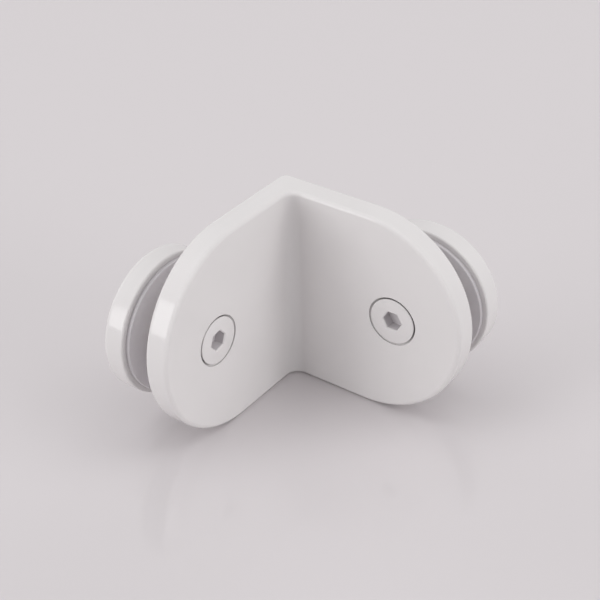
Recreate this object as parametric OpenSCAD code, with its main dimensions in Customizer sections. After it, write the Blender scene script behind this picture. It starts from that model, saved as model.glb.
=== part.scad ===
// Corner clamp for two glass panels that meet at a right angle.
// A one-piece angle bracket stands inside the corner. On the outer side of each leaf a round
// clamping disc is drawn up by a countersunk screw and pinches the glass between two gaskets.
// The threaded boss of each disc goes through a hole in the glass, inside a plastic bush.

/* [Angle bracket] */
// Height of both leaves
leaf_h = 50; // [44:1:70]
// Length of a leaf, from the outer corner to its round tip
leaf_l = 51; // [50:1:80]
// Thickness of the leaves
leaf_t = 6; // [4:0.5:8]
// Rounding along the edges of the leaves
edge_r = 1; // [0.3:0.1:1.3]
// Radius of the upright outer corner
outer_corner_r = 2; // [1.3:0.1:3]
// Radius of the hollow inside the corner
inner_corner_r = 3; // [1:0.5:6]

/* [Screws] */
// Distance of a screw's axis from the outer corner
screw_reach = 33.5; // [30:0.5:36]
// Diameter of the countersunk head
head_d = 11.2; // [10.8:0.1:12]
// Width across the flats of the hex socket
socket_af = 4.1; // [3.5:0.1:4.2]
// Depth of the hex socket
socket_depth = 2.3; // [1.5:0.1:2.5]
// Length of thread that stands out of the leaf
thread_reach = 10.5; // [9:0.5:10.5]

/* [Clamping discs] */
// Diameter of a disc
disc_d = 34; // [28:1:36]
// Thickness of a disc
disc_t = 5.5; // [5:0.5:8]
// Rounding of the edge that shows outside
disc_outer_r = 1.2; // [0.2:0.1:2]
// Diameter of the threaded boss
boss_d = 10; // [9:0.5:11]
// Length of the threaded boss
boss_l = 5; // [3.5:0.5:5.5]

/* [Glass and its packing] */
// Thickness of glass that the discs are set for
glass_t = 5; // [5:0.5:8]
// Thickness of a gasket
gasket_t = 1; // [1:0.1:1.5]
// How far a gasket stays inside the rim of its disc
gasket_inset = 1.2; // [0.8:0.2:4]
// Outer diameter of the bush that lines the hole in the glass
bush_d = 14; // [13:0.5:16]

/* [Hidden] */
$fn = 96;

white_coat = [0.93, 0.93, 0.92];
grey_rubber = [0.78, 0.76, 0.77];
natural_nylon = [0.88, 0.86, 0.80];

cut = 0.1;                                // how far a cutter runs past the face that it opens
hex_sides = 6;
gap = glass_t + 2 * gasket_t;             // from the leaf to the face of the disc
tip_r = leaf_h / 2;                       // the tip of a leaf is a half circle
straight_l = leaf_l - tip_r;              // straight part of a leaf's edges
corner_w = leaf_t + inner_corner_r;       // the corner block reaches to the end of its hollow
box_centre = (leaf_l - gap - disc_t) / 2; // middle of the outer sizes, from the outer corner

thread_r = 3;                             // M6, drawn at its outer diameter
thread_fit = 0.05;                        // radial clearance of screw and boss
hole_r = 3.3;                             // clearance hole for the screw
head_fit = 0.5;                           // radial gap round the head
head_land = 0.3;                          // short upright rim of the head
head_cone = head_d / 2 - thread_r;        // 90 degree countersink, as high as it is wide
screw_end_chamfer = 0.7;
left_socket_turn = -10;                   // where each screw stands when it is tight, in degrees
right_socket_turn = 0;

disc_inner_r = 0.5;                       // edge that faces the glass
disc_floor = 1.2;                         // metal left under the blind thread
boss_chamfer = 0.5;
bush_fit = 0.1;                           // radial clearance of bush and boss
bush_l = boss_l - 0.3;
gasket_fit = 0.3;                         // radial clearance of gasket and bush
gasket_edge_r = 0.25;
bush_edge_r = 0.3;

// Rectangle from the origin, with one radius for each corner:
// [lower left, lower right, upper right, upper left]
module rounded_rect(w, h, radii) {
    places = [[0, 0, 1, 1], [w, 0, -1, 1], [w, h, -1, -1], [0, h, 1, -1]];
    difference() {
        square([w, h]);
        for (i = [0:3]) if (radii[i] > 0)
            translate([places[i][0], places[i][1]]) square(2 * radii[i], center = true);
    }
    for (i = [0:3]) if (radii[i] > 0)
        translate([places[i][0] + places[i][2] * radii[i], places[i][1] + places[i][3] * radii[i]])
            circle(radii[i]);
}

// Moves from the corner's own axes to the centre of the outer sizes
module placed() {
    translate([-box_centre, -box_centre, 0]) children();
}

// The right half is the left half, reflected in the plane between the leaves
module left_half() {
    placed() children();
}

module right_half() {
    placed() mirror([1, -1, 0]) children();
}

// Local z runs along the left screw, outwards from the outer face of the leaf
module on_screw_axis() {
    translate([screw_reach, 0, leaf_h / 2]) rotate([90, 0, 0]) children();
}

// A bar along x, whose section is drawn with y across and z up
module bar(from_x, to_x) {
    translate([from_x, 0, 0]) rotate([90, 0, 90]) linear_extrude(to_x - from_x) children();
}

module leaf() {
    bar(corner_w, straight_l)
        rounded_rect(leaf_t, leaf_h, [edge_r, edge_r, edge_r, edge_r]);
    translate([straight_l, leaf_t, tip_r]) rotate([90, 0, 0]) rotate([0, 0, -90])
        rotate_extrude(angle = 180) rounded_rect(tip_r, leaf_t, [0, edge_r, edge_r, 0]);
}

// Block where the leaves meet: rounded outside, hollow inside, with the same rounding on its edges
module corner_block() {
    intersection() {
        union() {
            bar(outer_corner_r, corner_w) rounded_rect(corner_w, leaf_h, [edge_r, 0, 0, edge_r]);
            mirror([1, -1, 0])
                bar(outer_corner_r, corner_w) rounded_rect(corner_w, leaf_h, [edge_r, 0, 0, edge_r]);
            translate([outer_corner_r, outer_corner_r, 0]) rotate([0, 0, 180])
                rotate_extrude(angle = 90)
                    rounded_rect(outer_corner_r, leaf_h, [0, edge_r, edge_r, 0]);
        }
        translate([corner_w, corner_w, 0]) rotate([0, 0, 180]) rotate_extrude(angle = 90)
            translate([inner_corner_r, 0])
                rounded_rect(2 * corner_w, leaf_h, [edge_r, 0, 0, edge_r]);
    }
}

// Clearance hole and countersink for one screw, a little wider than the screw all round
module screw_hole() {
    seat_r = head_d / 2 + head_fit;
    seat_depth = leaf_t - head_land - (seat_r - hole_r);
    rotate_extrude() polygon([
        [0, cut], [hole_r, cut], [hole_r, -seat_depth], [seat_r, -leaf_t + head_land],
        [seat_r, -leaf_t - cut], [0, -leaf_t - cut]
    ]);
}

module angle_bracket() {
    color(white_coat) placed() difference() {
        union() {
            corner_block();
            leaf();
            mirror([1, -1, 0]) leaf();
        }
        on_screw_axis() screw_hole();
        mirror([1, -1, 0]) on_screw_axis() screw_hole();
    }
}

// Countersunk screw with a hex socket, its head flush with the inner face of the leaf
module screw(socket_turn) {
    color(white_coat) on_screw_axis() difference() {
        rotate_extrude() polygon([
            [0, -leaf_t], [head_d / 2, -leaf_t], [head_d / 2, -leaf_t + head_land],
            [thread_r, -leaf_t + head_land + head_cone], [thread_r, thread_reach - screw_end_chamfer],
            [thread_r - screw_end_chamfer, thread_reach], [0, thread_reach]
        ]);
        translate([0, 0, -leaf_t - cut]) rotate([0, 0, socket_turn])
            cylinder(h = socket_depth + cut, r = socket_af / 2 / cos(180 / hex_sides), $fn = hex_sides);
        translate([0, 0, -leaf_t + socket_depth])
            cylinder(h = socket_af / 4, r1 = socket_af / 2, r2 = 0);
    }
}

// Clamping disc, turned in one piece with its threaded boss
module disc() {
    color(white_coat) on_screw_axis() translate([0, 0, gap]) difference() {
        union() {
            rotate_extrude() rounded_rect(disc_d / 2, disc_t, [0, disc_inner_r, disc_outer_r, 0]);
            rotate_extrude() polygon([
                [0, cut], [boss_d / 2, cut], [boss_d / 2, -boss_l + boss_chamfer],
                [boss_d / 2 - boss_chamfer, -boss_l], [0, -boss_l]
            ]);
        }
        translate([0, 0, -boss_l - cut])
            cylinder(h = boss_l + disc_t - disc_floor + cut, r = thread_r + thread_fit);
    }
}

// Ring between two radii, with lightly rounded edges
module ring(inner_r, outer_r, height, round_r) {
    rotate_extrude() translate([inner_r, 0])
        rounded_rect(outer_r - inner_r, height, [round_r, round_r, round_r, round_r]);
}

module gasket() {
    color(grey_rubber)
        ring(bush_d / 2 + gasket_fit, disc_d / 2 - gasket_inset, gasket_t, gasket_edge_r);
}

module disc_gasket() {
    on_screw_axis() translate([0, 0, gap - gasket_t]) gasket();
}

module leaf_gasket() {
    on_screw_axis() gasket();
}

// Bush on the boss, which keeps metal and glass apart inside the hole
module bush() {
    color(natural_nylon) on_screw_axis() translate([0, 0, gap - bush_l])
        ring(boss_d / 2 + bush_fit, bush_d / 2, bush_l, bush_edge_r);
}

angle_bracket();
left_half() screw(left_socket_turn);  // left_screw
left_half() disc();  // left_disc
left_half() disc_gasket();  // left_disc_gasket
left_half() leaf_gasket();  // left_leaf_gasket
left_half() bush();  // left_bush
right_half() screw(right_socket_turn);  // right_screw
right_half() disc();  // right_disc
right_half() disc_gasket();  // right_disc_gasket
right_half() leaf_gasket();  // right_leaf_gasket
right_half() bush();  // right_bush
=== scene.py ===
import math

import bpy
from mathutils import Matrix, Vector


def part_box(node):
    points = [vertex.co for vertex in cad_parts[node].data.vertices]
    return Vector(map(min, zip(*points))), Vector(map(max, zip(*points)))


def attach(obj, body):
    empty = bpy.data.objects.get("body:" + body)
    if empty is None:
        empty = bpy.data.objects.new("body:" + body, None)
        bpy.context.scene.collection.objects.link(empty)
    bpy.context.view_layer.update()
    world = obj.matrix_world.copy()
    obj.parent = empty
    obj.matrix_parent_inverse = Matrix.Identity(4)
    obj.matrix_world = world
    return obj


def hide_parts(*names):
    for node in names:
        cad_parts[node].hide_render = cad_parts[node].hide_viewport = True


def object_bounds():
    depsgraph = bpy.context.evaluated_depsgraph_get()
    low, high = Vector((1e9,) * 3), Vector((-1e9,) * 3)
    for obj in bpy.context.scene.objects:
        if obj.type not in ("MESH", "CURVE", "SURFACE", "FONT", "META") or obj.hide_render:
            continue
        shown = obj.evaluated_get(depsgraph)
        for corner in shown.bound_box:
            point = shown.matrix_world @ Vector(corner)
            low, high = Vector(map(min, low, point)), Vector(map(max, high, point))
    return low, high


# Corner clamp for two glass panels: a white powder-coated bracket and, outside each leaf, a
# clamping disc that a countersunk screw draws up, with silicone gaskets and nylon bushes for the
# glass. Metres, +Z up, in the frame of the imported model.

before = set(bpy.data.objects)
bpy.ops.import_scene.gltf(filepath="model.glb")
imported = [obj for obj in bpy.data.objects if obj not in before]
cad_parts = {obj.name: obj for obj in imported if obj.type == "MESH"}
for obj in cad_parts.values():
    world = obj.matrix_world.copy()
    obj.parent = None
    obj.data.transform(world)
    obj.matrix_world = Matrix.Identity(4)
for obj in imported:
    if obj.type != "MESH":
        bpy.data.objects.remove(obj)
cadLow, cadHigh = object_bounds()
mm = 0.001
print("frame loaded:", len(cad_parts), "nodes")

cameraSettings = {
    "aim": (-8.78, -7.81, 25.0),  # mm
    "distance": 316.1,            # mm
    "azimuth": 36.71,             # degrees from +X towards +Y
    "elevation": 33.81,           # degrees
    "tilt": -1.46,                # degrees about the line of sight
    "lens": 82.9,                 # mm
    "sensorWidth": 36,            # mm
    "nearest": 0.01,              # m, closer things aren't drawn
    "furthest": 50,               # m
}


def towards(azimuth, elevation):  # unit vector, from degrees
    a, e = math.radians(azimuth), math.radians(elevation)
    return Vector((math.cos(a) * math.cos(e), math.sin(a) * math.cos(e), math.sin(e)))


def makeCamera(settings):
    aim = Vector(settings["aim"]) * mm
    away = towards(settings["azimuth"], settings["elevation"])
    bpy.ops.object.camera_add(location=aim + away * settings["distance"] * mm)
    camera = bpy.context.object
    camera.name = "camera"
    tilt = Matrix.Rotation(math.radians(settings["tilt"]), 3, "Z").to_quaternion()
    camera.rotation_mode = "QUATERNION"
    camera.rotation_quaternion = (-away).to_track_quat("-Z", "Y") @ tilt
    camera.data.sensor_width = settings["sensorWidth"]
    camera.data.lens = settings["lens"]
    camera.data.clip_start = settings["nearest"]
    camera.data.clip_end = settings["furthest"]
    bpy.context.scene.camera = camera


makeCamera(cameraSettings)
print("camera placed")

mixFac, mixFirst, mixSecond, mixResult = 0, 6, 7, 2  # sockets of a Mix node that mixes colours


def linear(hexColour):  # from sRGB
    channels = [int(hexColour[i:i + 2], 16) / 255 for i in (1, 3, 5)]
    return [c / 12.92 if c <= 0.04045 else ((c + 0.055) / 1.055) ** 2.4 for c in channels] + [1]


def perMetre(sizeInMm):  # scale of a texture whose features are that large
    return 1 / (sizeInMm * mm)


def addNode(tree, kind, settings=None, links=None):  # an input goes by its name or its number
    node = tree.nodes.new(kind)
    for name, value in (settings or {}).items():
        if isinstance(name, int) or name in node.inputs:
            node.inputs[name].default_value = value
        else:
            setattr(node, name, value)
    for name, source in (links or {}).items():
        tree.links.new(source, node.inputs[name])
    return node


def newMaterial(name):
    material = bpy.data.materials.new(name)
    material.use_nodes = True
    tree = material.node_tree
    tree.nodes.clear()
    place = addNode(tree, "ShaderNodeTexCoord").outputs["Object"]
    shader = addNode(tree, "ShaderNodeBsdfPrincipled")
    addNode(tree, "ShaderNodeOutputMaterial", links={"Surface": shader.outputs["BSDF"]})
    return material, tree, place, shader


def finishSurface(tree, shader, settings, tone, gloss, relief):  # the last three are patterns
    colour = addNode(tree, "ShaderNodeMix", {
        "data_type": "RGBA",
        mixFirst: linear(settings["colour"]), mixSecond: linear(settings["shade"]),
    }, {mixFac: tone}).outputs[mixResult]
    roughness = addNode(tree, "ShaderNodeMapRange", {
        "To Min": settings["roughness"] - settings["roughnessSpread"],
        "To Max": settings["roughness"] + settings["roughnessSpread"],
    }, {"Value": gloss}).outputs["Result"]
    normal = addNode(tree, "ShaderNodeBump", {
        "Strength": 1, "Distance": settings["reliefDepth"] * mm,
    }, {"Height": relief}).outputs["Normal"]
    tree.links.new(colour, shader.inputs["Base Color"])
    tree.links.new(roughness, shader.inputs["Roughness"])
    tree.links.new(normal, shader.inputs["Normal"])
    return colour


# Polyester powder coat on steel, sprayed dry and baked: it levels to a smooth, glossy film with a
# faint orange peel, so highlights keep their shape but waver a little.
powderCoatSettings = {
    "name": "white polyester powder coat",
    "colour": "#E2DFDF",
    "shade": "#DDDADA",      # where the film is a little thinner
    "cloud": 12,             # mm
    "peel": 2.5,             # mm between the waves of the orange peel
    "reliefDepth": 0.004,    # mm
    "roughness": 0.1,
    "roughnessSpread": 0.02,
    "ior": 1.5,
}

# The charged powder hardly reaches into a narrow socket, so the film there is thin; its darker,
# greyer colour is painted shade of the recess.
shadedSocketCoatSettings = {
    **powderCoatSettings,
    "name": "powder coat of a socket, darkened with painted shade",
    "colour": "#D5D1D3",
    "shade": "#CBC7C9",
    "cloud": 1.5,            # mm
    "roughness": 0.24,
}


def makePowderCoat(settings):
    material, tree, place, shader = newMaterial(settings["name"])
    cloud = addNode(tree, "ShaderNodeTexNoise", {
        "Scale": perMetre(settings["cloud"]), "Detail": 3,
    }, {"Vector": place}).outputs["Fac"]
    peel = addNode(tree, "ShaderNodeTexNoise", {
        "Scale": perMetre(settings["peel"]), "Detail": 1, "Roughness": 0.4,
    }, {"Vector": place}).outputs["Fac"]
    finishSurface(tree, shader, settings, cloud, cloud, peel)
    shader.inputs["IOR"].default_value = settings["ior"]
    return material


# Silicone rubber, moulded in sheet and punched: pale and dull, with a fine talc-like bloom on its
# faces. Its edge faces are drawn greyer: painted shade of the narrow gap that a gasket sits in.
siliconeSettings = {
    "colour": "#E4E1E3",
    "shade": "#D7D3D6",
    # painted shade, for the gasket's edge faces
    "shadedEdgeColour": "#BEBABD",
    "cloud": 3,              # mm
    "grain": 0.25,           # mm, drawn coarser than the real bloom so that it shows
    "reliefDepth": 0.004,    # mm
    "roughness": 0.36,
    "roughnessSpread": 0.1,
    "ior": 1.41,
}

sheetAxes = {"left": (0, 1, 0), "right": (1, 0, 0)}  # which way a gasket's flat faces look


def makeSilicone(settings, side, axis):
    material, tree, place, shader = newMaterial("punched silicone sheet, " + side)
    cloud = addNode(tree, "ShaderNodeTexNoise", {
        "Scale": perMetre(settings["cloud"]), "Detail": 4,
    }, {"Vector": place}).outputs["Fac"]
    grain = addNode(tree, "ShaderNodeTexNoise", {
        "Scale": perMetre(settings["grain"]), "Detail": 2,
    }, {"Vector": place}).outputs["Fac"]
    colour = finishSurface(tree, shader, settings, cloud, cloud, grain)
    # faces that look across the axis, the gasket's edge, get the painted shade colour
    facing = addNode(tree, "ShaderNodeVectorMath", {"operation": "DOT_PRODUCT", 1: axis}, {
        0: place.node.outputs["Normal"],
    }).outputs["Value"]
    onFace = addNode(tree, "ShaderNodeMath", {"operation": "ABSOLUTE"}, {0: facing}).outputs[0]
    edgeShaded = addNode(tree, "ShaderNodeMix", {
        "data_type": "RGBA", mixFirst: linear(settings["shadedEdgeColour"]),
    }, {mixFac: onFace, mixSecond: colour}).outputs[mixResult]
    tree.links.new(edgeShaded, shader.inputs["Base Color"])
    shader.inputs["IOR"].default_value = settings["ior"]
    return material


# Natural polyamide, injection moulded: a warm, slightly waxy off-white with a soft sheen.
nylonSettings = {
    "colour": "#E6E0D2",
    "shade": "#DCD5C4",
    "cloud": 4,              # mm
    "flow": 0.8,             # mm, flow marks of the moulding
    "reliefDepth": 0.005,    # mm
    "roughness": 0.38,
    "roughnessSpread": 0.07,
    "ior": 1.53,
}


def makeNylon(settings):
    material, tree, place, shader = newMaterial("moulded natural nylon")
    cloud = addNode(tree, "ShaderNodeTexNoise", {
        "Scale": perMetre(settings["cloud"]), "Detail": 3,
    }, {"Vector": place}).outputs["Fac"]
    flow = addNode(tree, "ShaderNodeTexNoise", {
        "Scale": perMetre(settings["flow"]), "Detail": 2, "Distortion": 1.5,
    }, {"Vector": place}).outputs["Fac"]
    finishSurface(tree, shader, settings, cloud, flow, flow)
    shader.inputs["IOR"].default_value = settings["ior"]
    return material


# Rolled thread of stainless steel: bright flanks with fine burnished streaks and a greyer cast.
steelSettings = {
    "colour": "#C9C6C2",
    "shade": "#B3AFAB",
    "streak": 0.35,          # mm, drawn coarser than the real rolling marks so that they show
    "reliefDepth": 0.003,    # mm
    "roughness": 0.27,
    "roughnessSpread": 0.09,
}


def makeSteel(settings):
    material, tree, place, shader = newMaterial("rolled stainless steel")
    streak = addNode(tree, "ShaderNodeTexNoise", {
        "Scale": perMetre(settings["streak"]), "Detail": 4, "Roughness": 0.6,
    }, {"Vector": place}).outputs["Fac"]
    finishSurface(tree, shader, settings, streak, streak, streak)
    shader.inputs["Metallic"].default_value = 1
    return material


powderCoat = makePowderCoat(powderCoatSettings)
shadedSocketCoat = makePowderCoat(shadedSocketCoatSettings)
silicones = {side: makeSilicone(siliconeSettings, side, axis) for side, axis in sheetAxes.items()}
nylon = makeNylon(nylonSettings)
steel = makeSteel(steelSettings)


def finishOf(name):  # the material that a node of this name is made of
    if name.endswith("gasket"):
        return silicones[name.split("_")[0]]
    if name.endswith("bush"):
        return nylon
    return powderCoat


for name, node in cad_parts.items():
    node.data.materials.clear()
    node.data.materials.append(finishOf(name))
print("materials made")

samePlace = 1e-6  # m, points nearer than this are one
onPlane = 1e-7    # m, a point this near to a cutting plane lies on it
levelFace = 0.9   # a level face has a normal with at least this much along z


def looksUp(face):
    return face.normal.z > levelFace


def looksDown(face):
    return face.normal.z < -levelFace


def chooseOnly(piece):
    bpy.ops.object.select_all(action="DESELECT")
    piece.select_set(True)
    bpy.context.view_layer.objects.active = piece


def clearSelection(kind):  # ends in object mode, where code selects points, edges or faces
    bpy.ops.object.mode_set(mode="EDIT")
    bpy.ops.mesh.select_mode(type=kind)
    bpy.ops.mesh.select_all(action="DESELECT")
    bpy.ops.object.mode_set(mode="OBJECT")


def selectFaces(piece, wanted):  # wanted is a test of a face; stays in edit mode
    clearSelection("FACE")
    for face in piece.data.polygons:
        face.select = wanted(face)
    bpy.ops.object.mode_set(mode="EDIT")


def selectEdges(piece, wanted):  # wanted is a test of an edge's two ends; stays in edit mode
    clearSelection("EDGE")
    points = piece.data.vertices
    for edge in piece.data.edges:
        edge.select = wanted(*[points[i].co for i in edge.vertices])
    bpy.ops.object.mode_set(mode="EDIT")


def addRod(sides, radius, top, bottom):  # an upright cylinder on the z axis, in mm
    bpy.ops.mesh.primitive_cylinder_add(
        vertices=sides, radius=radius * mm, depth=(top - bottom) * mm,
        location=(0, 0, (top + bottom) / 2 * mm))
    bpy.ops.object.transform_apply(location=True, rotation=False, scale=False)
    return bpy.context.object


def extrudeFace(distance, scale=1):  # of the selected end face, along z, with its new size
    bpy.ops.mesh.extrude_region_move(TRANSFORM_OT_translate={"value": (0, 0, distance * mm)})
    bpy.ops.transform.resize(value=(scale, scale, 1))


def combine(piece, tool, operation):
    chooseOnly(piece)
    boolean = piece.modifiers.new("shape", "BOOLEAN")
    boolean.operation = operation
    boolean.solver = "EXACT"
    boolean.object = tool
    bpy.ops.object.modifier_apply(modifier=boolean.name)
    bpy.data.objects.remove(tool)


# M6 countersunk screw with a hex socket, made upright with the face of its head at z = 0.
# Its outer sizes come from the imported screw, and these are the rest.
screwSettings = {
    "headSides": 128,
    "rim": 0.3,             # mm, upright edge of the head
    "rimRound": 0.06,       # mm
    "roundSteps": 3,
    "neckRadius": 3.0,      # mm, where the cone ends
    "neckLength": 0.3,      # mm
    "socketWidth": 4.2,     # mm across the flats
    "socketDepth": 2.5,     # mm
    "mouth": 0.24,          # mm, chamfer at the mouth of the socket
    "drillPoint": 1.0,      # mm, depth of the round point below the socket
    "drillWidth": 0.99,     # of the width across the flats
    "drillSides": 64,
    "crestRadius": 2.97,    # mm
    "coreRadius": 2.39,     # mm
    "pitch": 1.0,           # mm
    "crestFlat": 0.13,      # mm
    "rootFlat": 0.2,        # mm
    "threadTop": 2.6,       # mm below the face of the head, hidden in the cone
    "tipChamfer": 0.8,      # mm
    "tipSides": 96,
    "stepsPerTurn": 40,
    "smoothAngle": 30,      # degrees, sharper edges stay sharp
}


def makeHead(settings, headRadius):
    neckRadius = settings["neckRadius"]
    head = addRod(settings["headSides"], headRadius, 0, -settings["rim"])
    selectFaces(head, looksDown)
    extrudeFace(neckRadius - headRadius, neckRadius / headRadius)  # as high as it is wide
    extrudeFace(-settings["neckLength"])
    bpy.ops.object.mode_set(mode="OBJECT")
    selectEdges(head, lambda a, b: max(abs(a.z), abs(b.z)) < samePlace)
    bpy.ops.mesh.bevel(
        offset=settings["rimRound"] * mm, segments=settings["roundSteps"], affect="EDGES")
    bpy.ops.object.mode_set(mode="OBJECT")
    return head


def cutSocket(head, settings):
    half = settings["socketWidth"] / 2
    depth, mouth, point = settings["socketDepth"], settings["mouth"], settings["drillPoint"]
    hexSides = 6
    key = addRod(hexSides, half / math.cos(math.pi / hexSides), -mouth, -depth)
    selectFaces(key, looksUp)
    extrudeFace(mouth, (half + mouth) / half)
    extrudeFace(mouth, (half + 2 * mouth) / (half + mouth))  # past the face of the head
    bpy.ops.object.mode_set(mode="OBJECT")
    combine(head, key, "DIFFERENCE")
    overlap = 0.05  # mm, the cone starts this far above the end of the socket
    bpy.ops.mesh.primitive_cone_add(
        vertices=settings["drillSides"], radius1=0, radius2=half * settings["drillWidth"] * mm,
        depth=(point + overlap) * mm, location=(0, 0, -(depth + (point - overlap) / 2) * mm))
    drill = bpy.context.object
    bpy.ops.object.transform_apply(location=True, rotation=False, scale=False)
    combine(head, drill, "DIFFERENCE")


def makeThread(settings, length):
    pitch, core = settings["pitch"], settings["coreRadius"]
    crestFlat, rootFlat = settings["crestFlat"], settings["rootFlat"]
    flank = (pitch - crestFlat - rootFlat) / 2
    rise = settings["crestRadius"] - core
    bpy.ops.mesh.primitive_plane_add(size=mm)
    thread = bpy.context.object
    thread.data.vertices[0].co = (core * mm, 0, -(length + pitch) * mm)
    clearSelection("VERT")
    for corner in thread.data.vertices[1:]:  # one corner stays, as the profile's first point
        corner.select = True
    bpy.ops.object.mode_set(mode="EDIT")
    bpy.ops.mesh.delete(type="VERT")
    bpy.ops.mesh.select_all(action="SELECT")
    for out, up in ((0, rootFlat), (rise, flank), (0, crestFlat), (-rise, flank)):
        move = (out * mm, 0, up * mm)
        bpy.ops.mesh.extrude_vertices_move(TRANSFORM_OT_translate={"value": move})
    bpy.ops.object.mode_set(mode="OBJECT")
    helix = thread.modifiers.new("helix", "SCREW")
    helix.screw_offset = pitch * mm
    helix.iterations = math.ceil(length / pitch)
    helix.steps = helix.render_steps = settings["stepsPerTurn"]
    bpy.ops.object.modifier_apply(modifier=helix.name)
    bpy.ops.object.mode_set(mode="EDIT")
    for height, outside in ((-length, -1), (-settings["threadTop"], 1)):
        bpy.ops.mesh.select_all(action="SELECT")
        bpy.ops.mesh.remove_doubles(threshold=samePlace)
        bpy.ops.mesh.bisect(
            plane_co=(0, 0, height * mm), plane_no=(0, 0, outside), use_fill=True,
            clear_outer=True, threshold=onPlane)
    bpy.ops.mesh.select_all(action="SELECT")
    bpy.ops.mesh.normals_make_consistent(inside=False)
    bpy.ops.object.mode_set(mode="OBJECT")
    return thread


def pointThread(thread, settings, length):  # chamfers the end of the thread
    clearance = 0.3  # mm, keeps the blank's side off the crests
    radius = settings["crestRadius"] + clearance
    chamfer = settings["tipChamfer"] + clearance
    blank = addRod(settings["tipSides"], radius, 0, chamfer - length)
    selectFaces(blank, looksDown)
    extrudeFace(-chamfer, (radius - chamfer) / radius)
    bpy.ops.object.mode_set(mode="OBJECT")
    combine(thread, blank, "INTERSECT")


def coatScrew(screw, settings):  # the head is coated, its socket thinly and in a colour darkened with painted shade, and the rest is bare
    rim, mouth = settings["rim"] * mm, settings["mouth"] * mm
    socketRadius = settings["socketWidth"] * 0.6 * mm  # takes in the corners of the hexagon
    floorTilt = 0.1  # the least that a face in the socket's end looks up

    def inSocket(face):
        looksInwards = face.normal.xy.dot(face.center.xy) < 0
        return (-face.center.z > mouth and face.center.xy.length < socketRadius
                and (face.normal.z > floorTilt or looksInwards))

    def belowRim(face):
        return -face.center.z > rim and not inSocket(face)

    screw.data.materials.clear()
    screw.data.materials.append(powderCoat)
    # the socket's faces take the coat that is darkened with painted shade
    for material, wanted in ((shadedSocketCoat, inSocket), (steel, belowRim)):
        screw.data.materials.append(material)
        selectFaces(screw, wanted)
        screw.active_material_index = len(screw.data.materials) - 1
        bpy.ops.object.material_slot_assign()
        bpy.ops.object.mode_set(mode="OBJECT")


def makeScrew(settings, headRadius, length):
    bpy.ops.object.select_all(action="DESELECT")
    screw = makeHead(settings, headRadius)
    cutSocket(screw, settings)
    thread = makeThread(settings, length)
    pointThread(thread, settings, length)
    combine(screw, thread, "UNION")
    coatScrew(screw, settings)
    bpy.ops.object.mode_set(mode="EDIT")
    bpy.ops.mesh.select_all(action="SELECT")
    bpy.ops.mesh.remove_doubles(threshold=samePlace)
    bpy.ops.mesh.normals_make_consistent(inside=False)
    bpy.ops.object.mode_set(mode="OBJECT")
    bpy.ops.object.shade_smooth_by_angle(angle=math.radians(settings["smoothAngle"]))
    return screw


def copyScrew(screw, name, place):  # has its own mesh, and is turned and laid into its hole
    chooseOnly(screw)
    bpy.ops.object.duplicate()
    copy = bpy.context.object
    copy.name = name + "_detailed"
    copy.rotation_euler = (0, 0, math.radians(place["turn"]))
    bpy.ops.object.transform_apply(location=False, rotation=True, scale=False)
    low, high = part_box(name)
    spot = (low + high) / 2
    spot[place["along"]] = high[place["along"]]  # the face of the head
    copy.location = spot
    copy.rotation_euler = [math.radians(angle) for angle in place["layDown"]]
    bpy.ops.object.transform_apply(location=True, rotation=True, scale=False)
    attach(copy, name)
    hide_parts(name)


screwPlaces = {  # axis along the screw (0 is X, 1 is Y), then degrees: laid down, and turned
    "left_screw": {"along": 1, "layDown": (-90, 0, 0), "turn": 40},
    "right_screw": {"along": 0, "layDown": (0, 90, 0), "turn": 0},
}

low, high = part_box("left_screw")
screw = makeScrew(screwSettings, (high.z - low.z) / 2 / mm, (high.y - low.y) / mm)
for name, place in screwPlaces.items():
    copyScrew(screw, name, place)
bpy.data.objects.remove(screw)
print("screws made")

# Cast acrylic with a satin face: pale, with a soft reflection of what stands on it.
floorSettings = {
    "colour": "#D6D1D3",
    "roughness": 0.06,
    "specular": 0.8,
    "ior": 1.49,
    "size": 12,             # m
}


def makeFloor(settings):
    bpy.ops.mesh.primitive_plane_add(size=settings["size"], location=(0, 0, cadLow.z))
    floor = bpy.context.object
    floor.name = "floor"
    material, _, _, shader = newMaterial("satin acrylic table")
    shader.inputs["Base Color"].default_value = linear(settings["colour"])
    shader.inputs["Roughness"].default_value = settings["roughness"]
    shader.inputs["IOR"].default_value = settings["ior"]
    shader.inputs["Specular IOR Level"].default_value = settings["specular"]
    floor.data.materials.append(material)


softboxDistance = 3  # m

softboxes = {  # azimuth, elevation, width and height in degrees, and brightness of the cloth
    "left softbox": (325, 15, 28, 29, 2.55),
    "left fill": (318, 45, 28, 28, 1.05),
    "left high fill": (300, 66, 28, 28, 1.4),
    "left low fill": (345, 5, 33, 9.7, 5.5),
    "right softbox": (92, 16, 28, 28, 3.15),
    "right fill": (120, 42, 28, 28, 1.4),
    "right high fill": (120, 66, 28, 28, 1.3),
    "right low fill": (100, 5, 33, 9.7, 2.0),
    "back left softbox": (270, 16, 28, 28, 1.5),
    "back right softbox": (180, 16, 28, 28, 1.8),
    "back fill": (225, 66, 44, 28, 0.5),
    "overhead fill": (0, 89, 62, 62, 0.09),
}

glints = {  # the part of a softbox that shows as a highlight on the coat, but not in the table
    "left glint": (328, 15.5, 16, 30, 2.5),
}


def acrossAngle(angle, distance):  # size of a thing that spans so many degrees
    return 2 * distance * math.tan(math.radians(angle / 2))


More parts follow.
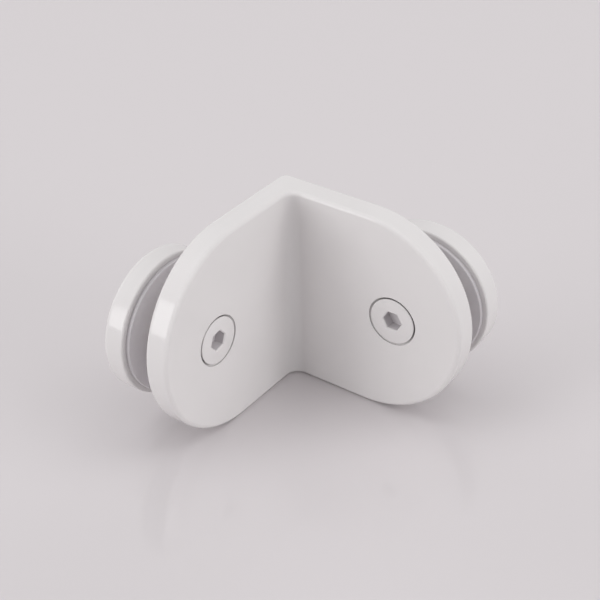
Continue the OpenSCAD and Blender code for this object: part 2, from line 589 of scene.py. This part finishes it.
def addSoftbox(name, azimuth, elevation, width, height, brightness):  # lights, but isn't mirrored
    away = towards(azimuth, elevation)
    bpy.ops.object.light_add(type="AREA", location=away * softboxDistance)
    lamp = bpy.context.object
    lamp.name = name
    lamp.rotation_mode = "QUATERNION"
    lamp.rotation_quaternion = away.to_track_quat("Z", "Y")
    lamp.data.shape = "RECTANGLE"
    lamp.data.size = acrossAngle(width, softboxDistance)
    lamp.data.size_y = acrossAngle(height, softboxDistance)
    lamp.data.energy = math.pi * lamp.data.size * lamp.data.size_y * brightness  # W
    lamp.visible_camera = False
    lamp.visible_glossy = False
    return lamp


def addGlint(name, settings):  # is mirrored, but doesn't light
    lamp = addSoftbox(name, *settings)
    lamp.visible_diffuse = False
    lamp.visible_glossy = True
    lit = bpy.data.collections.new("all but the table")
    lit.objects.link(bpy.data.objects["floor"])
    lit.collection_objects[0].light_linking.link_state = "EXCLUDE"
    lamp.light_linking.receiver_collection = lit


worldSettings = {
    "ambient": "#FFFFFF",
    "ambientStrength": 0.43,
    "backdrop": "#D6D1D3",
}


def makeWorld(settings):  # one colour lights the object and the other shows behind it
    world = bpy.data.worlds.new("studio")
    bpy.context.scene.world = world
    world.use_nodes = True
    tree = world.node_tree
    tree.nodes.clear()
    ambient = addNode(tree, "ShaderNodeBackground", {
        "Color": linear(settings["ambient"]), "Strength": settings["ambientStrength"],
    })
    backdrop = addNode(tree, "ShaderNodeBackground", {"Color": linear(settings["backdrop"])})
    rays = addNode(tree, "ShaderNodeLightPath").outputs
    direct = addNode(tree, "ShaderNodeMath", {"operation": "ADD"}, {
        0: rays["Is Camera Ray"], 1: rays["Is Glossy Ray"],
    })
    seen = addNode(tree, "ShaderNodeMath", {"operation": "ADD", "use_clamp": True}, {
        0: direct.outputs[0], 1: rays["Is Transmission Ray"],
    })
    either = addNode(tree, "ShaderNodeMixShader", links={
        0: seen.outputs[0], 1: ambient.outputs[0], 2: backdrop.outputs[0],
    })
    addNode(tree, "ShaderNodeOutputWorld", links={"Surface": either.outputs[0]})


makeFloor(floorSettings)
makeWorld(worldSettings)
for name, settings in softboxes.items():
    addSoftbox(name, *settings)
for name, settings in glints.items():
    addGlint(name, settings)
bpy.context.scene.view_settings.view_transform = "Standard"
print("floor and light set")
